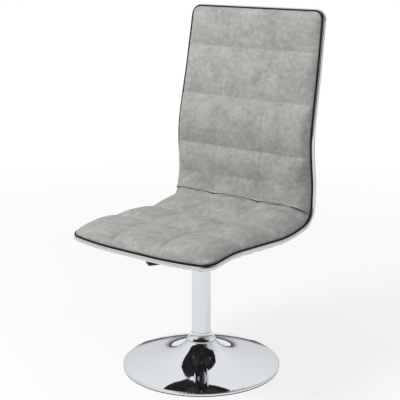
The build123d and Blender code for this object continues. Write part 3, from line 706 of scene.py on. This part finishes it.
def make_under_cover():
    """Thin cloth stapled under the seat, cut out round the mounting board, and its staples."""
    before = reach_on_cover(1, -BOARD_HALF, 0)
    behind = reach_on_cover(1, BOARD_HALF, 0)
    end = reach_on_cover(2, COVER_SPLIT, HEEL_REACH)
    full = SEAT_HALF - UNDER_INSET
    corner = front_corner_rows(UNDER_INSET, before)
    rows = [(share, None, width) for share, width in corner]
    rows += [(share, None, full) for share in np.linspace(corner[-1][0], 1, END_CELLS + 1)[1:-1]]
    first_beside = len(rows)
    rows += [(None, reach, full) for reach in np.linspace(before, behind, BOARD_CELLS + 1)[:-1]]
    first_behind = len(rows)
    rows += [(None, reach, full) for reach in np.linspace(behind, end, END_CELLS + 1)]
    over_board = np.linspace(-BOARD_HALF, BOARD_HALF, BOARD_CELLS + 1)
    grid = []
    for share, reach, half in rows:
        outer = np.linspace(BOARD_HALF, half, SIDE_CELLS + 1)
        x = np.concatenate([-outer[::-1], over_board[1:-1], outer])
        start = front_reach(x, UNDER_INSET)
        reaches = start + share * (before - start) if reach is None else np.full_like(x, reach)
        inside = np.minimum(half - np.abs(x), np.minimum(reaches - start, end - reaches))
        grid.append(place(x, reaches, under_height(x, reaches, inside)))
    grid = np.array(grid)
    count, columns, _ = grid.shape
    open_columns = range(SIDE_CELLS, SIDE_CELLS + BOARD_CELLS)
    faces = []
    for index, face in enumerate(grid_faces(count, columns)):
        row, column = divmod(index, columns - 1)
        if not (first_beside <= row < first_behind and column in open_columns):
            faces.append(face)
    cloth_under = new_object("dust_cloth", grid.reshape(-1, 3), faces)
    mesh = bmesh.new()
    mesh.from_mesh(cloth_under.data)
    bmesh.ops.delete(mesh, geom=[v for v in mesh.verts if not v.link_faces], context="VERTS")
    mesh.to_mesh(cloth_under.data)
    mesh.free()
    thickness = cloth_under.modifiers.new("thickness", "SOLIDIFY")
    thickness.thickness = UNDER_CLOTH
    thickness.offset = 0
    round_off(cloth_under, 1)
    # The staples run along both sides, the front and the rear, and stop short of the corners.
    side_reach = np.linspace(FRONT_CORNER + 0.02, end - HEM, 90)
    front_x = np.linspace(-FRONT_CORNER_X + 0.01, FRONT_CORNER_X - 0.01, 70)
    rear_x = np.linspace(-full + 0.03, full - 0.03, 60)
    on_cloth = COVER_TOP - STAPLE_DEPTH
    lines = [place(sign * (full - HEM), side_reach, on_cloth) for sign in (-1, 1)]
    lines.append(place(front_x, front_reach(front_x, UNDER_INSET) + HEM, on_cloth))
    lines.append(place(rear_x, end - HEM, on_cloth))
    staples = stitches("staples", lines, STAPLE_PITCH, STAPLE_LENGTH, STAPLE_RADIUS)
    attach(cloth_under, "seat")
    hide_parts("under_cover")
    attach(staples, "seat")
    return cloth_under, staples


# ================================================================================================
# Shader nodes
# ================================================================================================

def new_material(name, **values):
    """Material with a Principled shader, its constants set on the shader's own sockets."""
    made = bpy.data.materials.new(name)
    made.use_nodes = True
    shader = made.node_tree.nodes["Principled BSDF"]
    for key, value in values.items():
        shader.inputs[key.replace("_", " ")].default_value = value
    return made, made.node_tree.nodes, made.node_tree.links, shader


def coordinates_of(nodes):
    return nodes.new("ShaderNodeTexCoord").outputs["Object"]


def noise_of(nodes, links, where, scale, detail=3.0, roughness=0.55, stretch=(1, 1, 1)):
    """Noise over a piece; scale is in waves per metre."""
    mapping = nodes.new("ShaderNodeMapping")
    mapping.inputs["Scale"].default_value = stretch
    links.new(where, mapping.inputs["Vector"])
    texture = nodes.new("ShaderNodeTexNoise")
    texture.inputs["Scale"].default_value = scale
    texture.inputs["Detail"].default_value = detail
    texture.inputs["Roughness"].default_value = roughness
    links.new(mapping.outputs["Vector"], texture.inputs["Vector"])
    return texture.outputs["Fac"]


def ramp_of(nodes, links, value, stops):
    """Colour, or the same number three times, by a value between stops."""
    ramp = nodes.new("ShaderNodeValToRGB")
    while len(ramp.color_ramp.elements) < len(stops):
        ramp.color_ramp.elements.new(0.5)
    for element, (position, colour) in zip(ramp.color_ramp.elements, stops):
        element.position = position
        element.color = (*colour, 1)
    links.new(value, ramp.inputs["Fac"])
    return ramp.outputs["Color"]


def blend_of(nodes, links, share, first, second, kind="MIX"):
    mix = nodes.new("ShaderNodeMix")
    mix.data_type = "RGBA"
    mix.blend_type = kind
    mix.inputs["Factor"].default_value = share
    links.new(first, mix.inputs["A"])
    links.new(second, mix.inputs["B"])
    return mix.outputs["Result"]


def bump_of(nodes, links, shader, height, distance, strength):
    bump = nodes.new("ShaderNodeBump")
    bump.inputs["Distance"].default_value = distance
    bump.inputs["Strength"].default_value = strength
    links.new(height, bump.inputs["Height"])
    links.new(bump.outputs["Normal"], shader.inputs["Normal"])


def math_of(nodes, links, operation, first, second):
    result = nodes.new("ShaderNodeMath")
    result.operation = operation
    links.new(first, result.inputs[0])
    links.new(second, result.inputs[1])
    return result.outputs[0]


def shader_mix_of(nodes, links, share, first, second):
    mix = nodes.new("ShaderNodeMixShader")
    links.new(share, mix.inputs["Fac"])
    links.new(first, mix.inputs[1])
    links.new(second, mix.inputs[2])
    return mix.outputs[0]


def seen_of(nodes, links):
    """1 for what is seen directly, in a mirror or through glass, and 0 for what only lights."""
    paths = nodes.new("ShaderNodeLightPath").outputs
    seen = math_of(nodes, links, "MAXIMUM", paths["Is Camera Ray"], paths["Is Glossy Ray"])
    return math_of(nodes, links, "MAXIMUM", seen, paths["Is Transmission Ray"])


def towards_of(nodes, links, way, direction):
    """Cosine of the angle between the way that is looked and a direction."""
    dot = nodes.new("ShaderNodeVectorMath")
    dot.operation = "DOT_PRODUCT"
    dot.inputs[1].default_value = direction
    links.new(way, dot.inputs[0])
    return dot.outputs["Value"]


# ================================================================================================
# Materials
# ================================================================================================

def suede(name, dark, mid, light):
    """Brushed suede cloth: cloudy patches, short streaks of turned nap and a fine grain."""
    made, nodes, links, shader = new_material(
        name, Roughness=0.92, Sheen_Weight=0.22, Sheen_Roughness=0.45
    )
    where = coordinates_of(nodes)
    clouds = noise_of(nodes, links, where, 19, 5.0, 0.62, (1.0, 1.15, 1.0))
    patches = noise_of(nodes, links, where, 75, 4.0, 0.6, (1.0, 0.7, 1.25))
    grain = noise_of(nodes, links, where, 900, 2.0, 0.7)
    base = ramp_of(nodes, links, clouds, [(0.30, dark), (0.50, mid), (0.72, light)])
    marks = ramp_of(nodes, links, patches, [(0.32, dark), (0.52, mid), (0.68, light)])
    speck = ramp_of(nodes, links, grain, [(0.25, (0.80,) * 3), (0.75, WHITE)])
    cloth = blend_of(nodes, links, 0.5, base, marks)
    colour = blend_of(nodes, links, 0.6, cloth, speck, "MULTIPLY")
    links.new(colour, shader.inputs["Base Color"])
    bump_of(nodes, links, shader, grain, 0.0003, 0.5)
    return made


def chrome(name, colour, rough=0.03):
    """Bright plating with a faint unevenness in its polish."""
    made, nodes, links, shader = new_material(name, Metallic=1.0)
    where = coordinates_of(nodes)
    wear = noise_of(nodes, links, where, 60, 4.0, 0.6)
    finish = ramp_of(nodes, links, wear, [(0.3, (rough * 0.7,) * 3), (0.8, (rough * 1.4,) * 3)])
    tone = ramp_of(nodes, links, wear, [(0.2, tuple(0.98 * c for c in colour)), (0.9, colour)])
    links.new(finish, shader.inputs["Roughness"])
    links.new(tone, shader.inputs["Base Color"])
    return made


def grained(name, dark, light, rough, grain, depth=0.0002, **values):
    """Moulded plastic, rubber, lacquer, plated steel or thread: fine grain and cloudy tone."""
    made, nodes, links, shader = new_material(name, **values)
    where = coordinates_of(nodes)
    clouds = noise_of(nodes, links, where, 45, 4.0, 0.6)
    fine = noise_of(nodes, links, where, grain, 3.0, 0.6)
    tone = ramp_of(nodes, links, clouds, [(0.25, dark), (0.75, light)])
    smoother, rougher = (rough * 0.85,) * 3, (min(1, rough * 1.15),) * 3
    finish = ramp_of(nodes, links, fine, [(0.2, smoother), (0.8, rougher)])
    links.new(tone, shader.inputs["Base Color"])
    links.new(finish, shader.inputs["Roughness"])
    bump_of(nodes, links, shader, fine, depth, 0.4)
    return made


def plywood(name, dark, light):
    """Wood with long grain lines."""
    made, nodes, links, shader = new_material(name, Roughness=0.6)
    where = coordinates_of(nodes)
    grain = noise_of(nodes, links, where, 90, 6.0, 0.65, (1.0, 0.06, 1.0))
    pores = noise_of(nodes, links, where, 700, 3.0, 0.7, (1.0, 0.04, 1.0))
    tone = ramp_of(nodes, links, grain, [(0.3, dark), (0.7, light)])
    links.new(tone, shader.inputs["Base Color"])
    bump_of(nodes, links, shader, pores, 0.0002, 0.4)
    return made


SUEDE_DARK = (0.276, 0.279, 0.264)
SUEDE_MID = (0.379, 0.384, 0.365)
SUEDE_LIGHT = (0.500, 0.505, 0.486)

cloth = suede("suede_cloth", SUEDE_DARK, SUEDE_MID, SUEDE_LIGHT)
thread_finish = grained("sewing_thread", (0.20, 0.20, 0.19), (0.26, 0.26, 0.25), 0.8, 2500)
# Piping cord: black cloth, made darker still so that its colour also paints the shade in the gap
# between pad and band.
cord_black_with_painted_shade = grained(
    "piping_cord", (0.004, 0.004, 0.004), (0.008, 0.008, 0.009), 0.6, 1400, Specular_IOR_Level=0.25
)
bright = chrome("chrome_plate", (0.725, 0.745, 0.780))
# The edge band's chrome is a darker copy of the plating: painted shade that dims its reflections.
band_chrome_painted_shade = chrome("chrome_band", (0.62, 0.622, 0.630), 0.10)
collar_bright = chrome("chrome_collar", (0.74, 0.75, 0.77), 0.04)
zinc = grained("zinc_steel", (0.42, 0.42, 0.41), (0.55, 0.55, 0.54), 0.35, 900, Metallic=1.0)
ground_steel = grained(
    "ground_steel", (0.55, 0.56, 0.57), (0.66, 0.66, 0.67), 0.18, 1500, Metallic=1.0
)
black_coat = grained("black_coat", (0.010, 0.010, 0.011), (0.018, 0.018, 0.019), 0.42, 1100)
black_plastic = grained("black_plastic", (0.010, 0.010, 0.010), (0.020, 0.020, 0.020), 0.5, 1600)
rubber = grained("floor_rubber", (0.008, 0.008, 0.008), (0.017, 0.016, 0.016), 0.75, 1300)
nylon = grained("natural_nylon", (0.60, 0.57, 0.48), (0.70, 0.67, 0.58), 0.45, 800)
beech = plywood("beech_plywood", (0.42, 0.28, 0.16), (0.58, 0.42, 0.26))
# The mounting board's plywood is given a near-black tone, much darker than the beech.
board_near_black = plywood("stained_board", (0.010, 0.009, 0.008), (0.022, 0.019, 0.017))
dust_weave = grained(
    "dust_cloth_weave", (0.012, 0.009, 0.009), (0.024, 0.018, 0.017), 0.95, 1800, 0.0004
)

NODE_FINISHES = {
    "base_dish": bright,
    "base_edge_ring": rubber,
    "ballast_plate": zinc,
    "column_socket": zinc,
    "column_tube": bright,
    "column_collar": collar_bright,
    "guide_bush": black_plastic,
    "thrust_washer_lower": ground_steel,
    "thrust_washer_upper": ground_steel,
    "thrust_balls": ground_steel,
    "ball_cage": nylon,
    "piston_rod": ground_steel,
    "piston": black_plastic,
    "rod_clip": zinc,
    "rod_bumper": rubber,
    "pressure_tube": black_coat,
    "rod_guide": black_plastic,
    "valve_plug": zinc,
    "release_pin": ground_steel,
    "taper_hub": black_coat,
    "seat_plate": black_coat,
    "mount_board": board_near_black,
    "tee_nuts": zinc,
    "plate_washers": zinc,
    "plate_bolts": zinc,
    "lever_bracket": black_coat,
    "lever_pin": zinc,
    "lever_rod": black_coat,
    "lever_grip": black_plastic,
    "shell_core": beech,
    "edge_band": band_chrome_painted_shade,
    "front_piping": cord_black_with_painted_shade,
    "rear_piping": cord_black_with_painted_shade,
    "rear_cover": cloth,
    "under_cover": dust_weave,
}


def finish_piece(piece, material):
    piece.data.materials.clear()
    piece.data.materials.append(material)


# ================================================================================================
# The chair
# ================================================================================================

for node, material in NODE_FINISHES.items():
    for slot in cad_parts[node].material_slots:
        slot.material = material

seat, seat_thread = make_pad("seat_cushion", seat_points(), "seat_pad")
back, back_thread = make_pad("back_cushion", back_points(), "back_pad")
rear, rear_thread = make_rear_cover()
under, staples = make_under_cover()
for piece in (seat, back, rear):
    finish_piece(piece, cloth)
for piece in (seat_thread, back_thread, rear_thread):
    finish_piece(piece, thread_finish)
finish_piece(under, dust_weave)
finish_piece(staples, zinc)


# ================================================================================================
# Floor, lights and camera
# ================================================================================================

def stage_white(name, colour, share):
    """Pale surface that the camera and mirrors see as nearly white, and that keeps its shadow.

    share is how white it is round the chair; further out it becomes all white."""
    made, nodes, links, shader = new_material(name, Roughness=0.9)
    shader.inputs["Base Color"].default_value = (*colour, 1)
    seen = seen_of(nodes, links)
    away = nodes.new("ShaderNodeVectorMath")
    away.operation = "LENGTH"
    links.new(coordinates_of(nodes), away.inputs[0])
    spread = nodes.new("ShaderNodeMapRange")
    spread.inputs["From Min"].default_value = FLOOR_NEAR
    spread.inputs["From Max"].default_value = FLOOR_FAR
    spread.inputs["To Min"].default_value = share
    spread.inputs["To Max"].default_value = 1.0
    links.new(away.outputs["Value"], spread.inputs["Value"])
    part = math_of(nodes, links, "MULTIPLY", seen, spread.outputs["Result"])
    glow = nodes.new("ShaderNodeEmission")
    glow.inputs["Strength"].default_value = 1.0
    surface = shader_mix_of(nodes, links, part, shader.outputs[0], glow.outputs[0])
    links.new(surface, nodes["Material Output"].inputs["Surface"])
    return made


def make_floor():
    corners = [(-1, -1), (1, -1), (1, 1), (-1, 1)]
    points = [(FLOOR_HALF * x, FLOOR_HALF * y, 0) for x, y in corners]
    floor = new_object("floor", points, [(0, 1, 2, 3)])
    finish_piece(floor, stage_white("pale_floor", (0.94, 0.94, 0.94), FLOOR_WHITE))


def make_world():
    """White to the camera, the studio's walls in mirrors, and a plain soft light on the rest."""
    world = bpy.data.worlds.new("studio")
    bpy.context.scene.world = world
    world.use_nodes = True
    nodes, links = world.node_tree.nodes, world.node_tree.links
    lit = nodes["Background"]
    lit.inputs["Color"].default_value = (*WHITE, 1)
    lit.inputs["Strength"].default_value = WORLD_LIGHT
    plain = nodes.new("ShaderNodeBackground")
    plain.inputs["Color"].default_value = (*WHITE, 1)
    room = nodes.new("ShaderNodeBackground")
    way = nodes.new("ShaderNodeTexCoord").outputs["Generated"]
    height = nodes.new("ShaderNodeSeparateXYZ")
    links.new(way, height.inputs[0])
    wall_tone = ramp_of(nodes, links, height.outputs["Z"], WALL_TONES)
    dark_side = towards_of(nodes, links, way, DARK_SIDE)
    side_tone = ramp_of(nodes, links, dark_side, SIDE_TONES)
    dark_ceiling = towards_of(nodes, links, way, DARK_CEILING)
    ceiling_tone = ramp_of(nodes, links, dark_ceiling, CEILING_TONES)
    walls = blend_of(nodes, links, 1.0, side_tone, wall_tone, "MULTIPLY")
    whole = blend_of(nodes, links, 1.0, walls, ceiling_tone, "MULTIPLY")
    links.new(whole, room.inputs["Color"])
    glossy = nodes.new("ShaderNodeLightPath").outputs["Is Glossy Ray"]
    looked_at = shader_mix_of(nodes, links, glossy, plain.outputs[0], room.outputs[0])
    seen = seen_of(nodes, links)
    surface = shader_mix_of(nodes, links, seen, lit.outputs[0], looked_at)
    links.new(surface, nodes["World Output"].inputs["Surface"])


def make_lamp(name, where, towards, size, power):
    """Round lamp that lights the scene but doesn't show in mirrors."""
    data = bpy.data.lights.new(name, "AREA")
    data.shape = "DISK"
    data.size = size
    data.energy = power
    lamp = bpy.data.objects.new(name, data)
    lamp.location = where
    lamp.rotation_mode = "QUATERNION"
    lamp.rotation_quaternion = (Vector(towards) - Vector(where)).to_track_quat("-Z", "Y")
    lamp.visible_glossy = False
    bpy.context.scene.collection.objects.link(lamp)


def make_camera():
    """The photo's camera."""
    data = bpy.data.cameras.new("camera")
    data.sensor_width = SENSOR
    data.lens = FOCAL_PIXELS / IMAGE_PIXELS * SENSOR
    data.shift_x = SHIFT_X
    data.clip_end = 100
    camera = bpy.data.objects.new("camera", data)
    camera.location = CAMERA_PLACE
    camera.rotation_euler = (math.radians(90 - CAMERA_PITCH), 0, math.radians(CAMERA_AZIMUTH))
    bpy.context.scene.collection.objects.link(camera)
    bpy.context.scene.camera = camera


make_floor()
make_world()
make_lamp("key", (-0.78, -1.28, 2.25), (0, 0, 0.6), 0.9, 45)
make_lamp("fill", (2.6, -1.2, 2.4), (0, 0, 0.5), 1.6, 16)
make_camera()

bpy.context.scene.view_settings.view_transform = "Standard"
